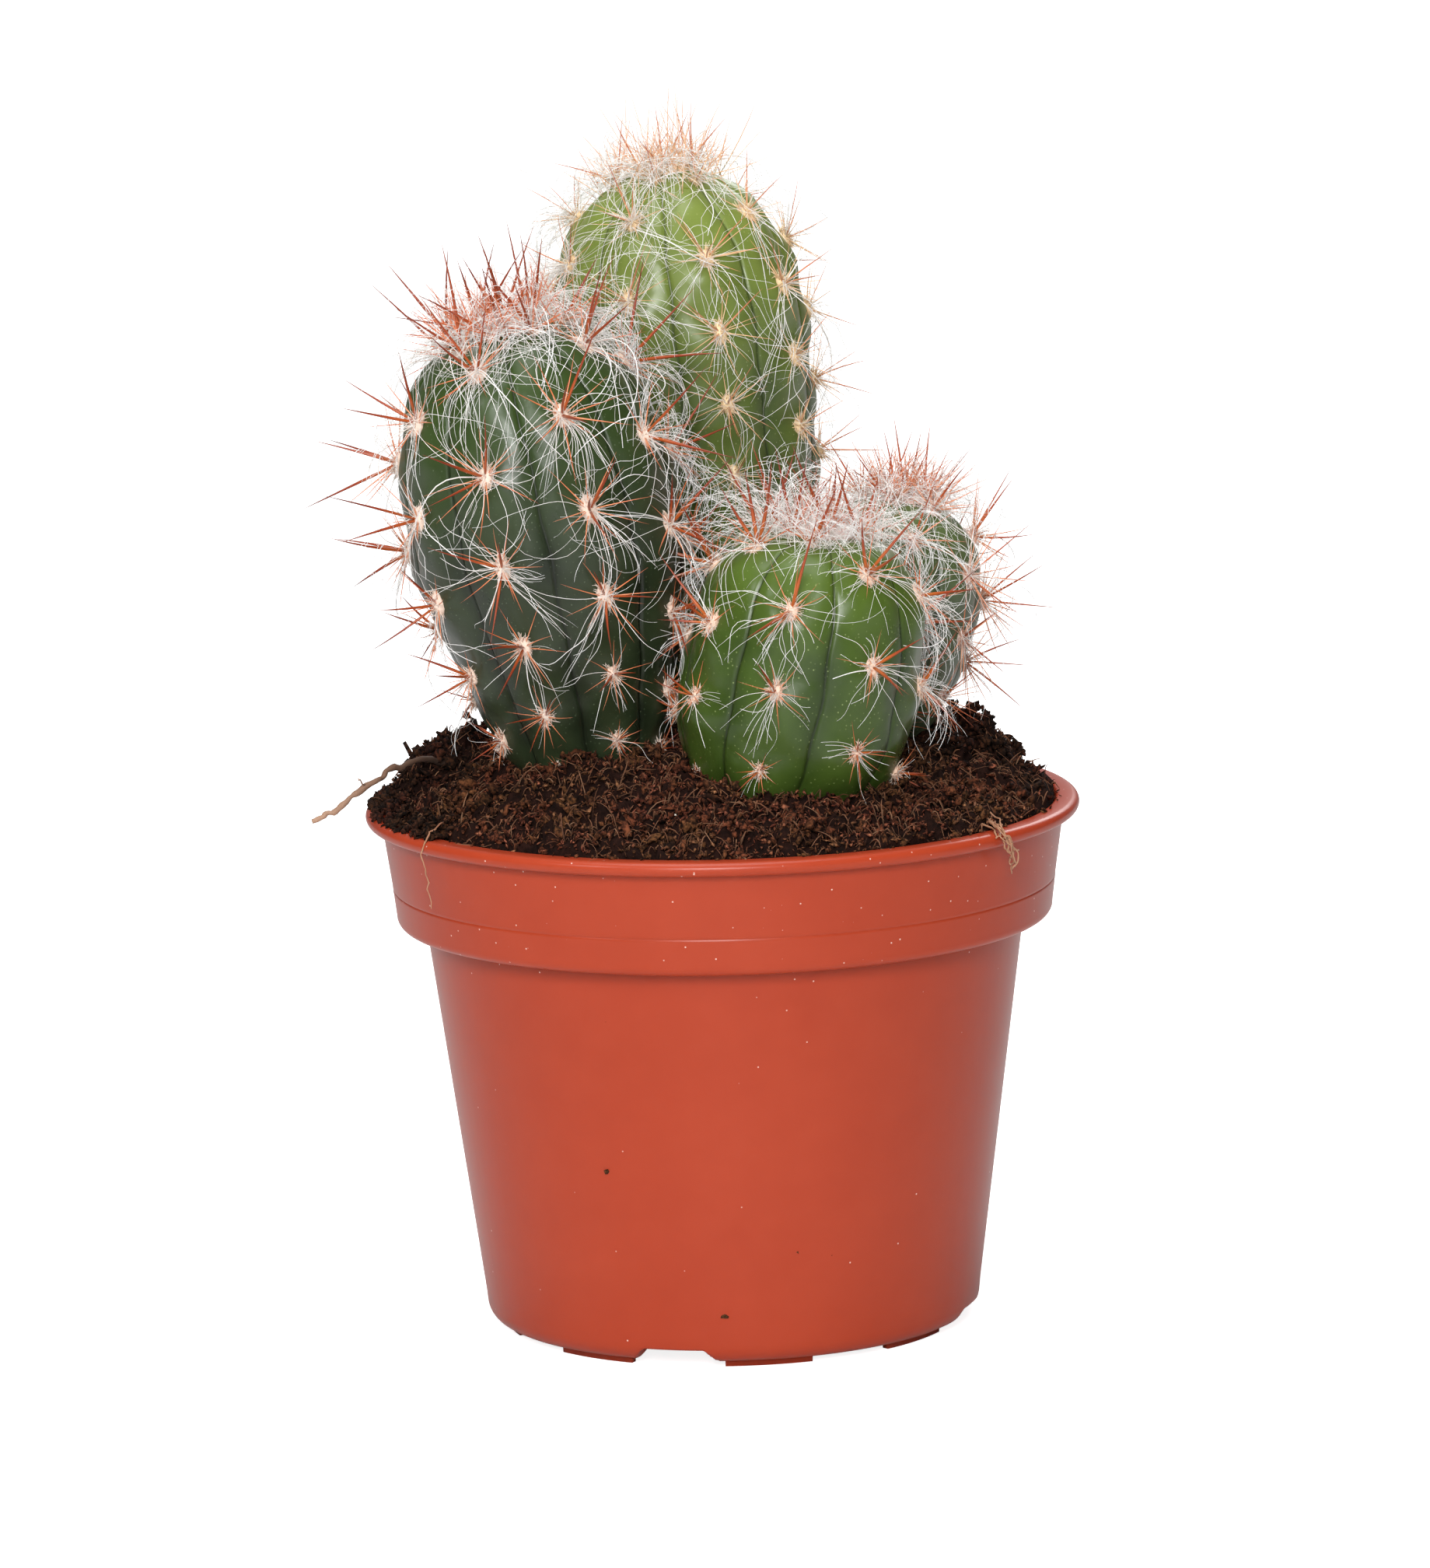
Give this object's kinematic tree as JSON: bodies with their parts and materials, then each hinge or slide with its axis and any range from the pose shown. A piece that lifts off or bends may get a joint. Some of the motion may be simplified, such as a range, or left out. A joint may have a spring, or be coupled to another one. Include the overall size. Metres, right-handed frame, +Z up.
{
  "type": "potted tall cactus",
  "caption": "Clump of ribbed columnar cactus stems with wool and spines, growing from heaped peat in a round plastic nursery pot.",
  "frame": {"origin": "on the pot's vertical axis, at the surface that its foot pads stand on", "axes": "+Z up along the pot's axis; -Y is the front, with the short light green stem at the right and the dark club-shaped stem at the left; +X to the right"},
  "size_m": [0.122, 0.12, 0.2047],
  "materials": {
    "pot_plastic": "satin terracotta-red polypropylene",
    "peat": "matte crumbly dark peat with fibres",
    "light_green_skin": "satin waxy light green skin",
    "dark_green_skin": "satin waxy dark green skin",
    "grey_green_skin": "matte grey-green skin",
    "crown_wool": "matte pinkish-white wool",
    "areole_felt": "matte cream felt cushions",
    "spines": "satin red-brown and straw-coloured spines",
    "white_hair": "fine silky white hair",
    "twig_bark": "matte tan-brown bark",
    "root_fibre": "matte pale root fibre"
  },
  "bodies": {
    "root": {"pot": "pot_plastic", "soil": "peat", "tall_stem": "light_green_skin", "left_stem": "dark_green_skin", "front_stem": "light_green_skin", "rear_stem": "grey_green_skin", "tall_crown": "crown_wool", "left_crown": "crown_wool", "front_crown": "crown_wool", "rear_crown": "crown_wool", "peat_lump_left": "peat", "peat_lump_right": "peat", "twig": "twig_bark", "rim_root": "root_fibre"}
  },
  "joints": []
}
